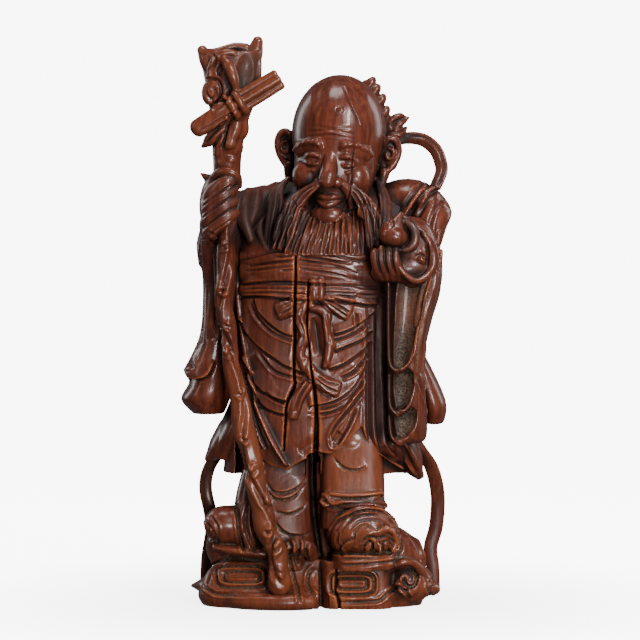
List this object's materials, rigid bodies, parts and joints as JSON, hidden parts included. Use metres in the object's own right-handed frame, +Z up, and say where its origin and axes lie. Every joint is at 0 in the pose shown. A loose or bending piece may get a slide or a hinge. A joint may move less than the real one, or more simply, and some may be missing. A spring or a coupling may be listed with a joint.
{
  "type": "carved sage figure",
  "caption": "Carved hardwood figure of an old sage with a domed head, long beard, gnarled staff and peach, standing on rockwork carved from the same block.",
  "frame": {"origin": "middle of the flat underside of the rockwork base", "axes": "+Z up along the figure, the face looks along -Y, +X is the viewer's right (the figure's left hand with the peach)"},
  "size_m": [0.1709, 0.1099, 0.3608],
  "materials": {
    "hardwood": "oiled and polished, dark in the hollows"
  },
  "bodies": {
    "root": {"figure": "hardwood"}
  },
  "joints": []
}
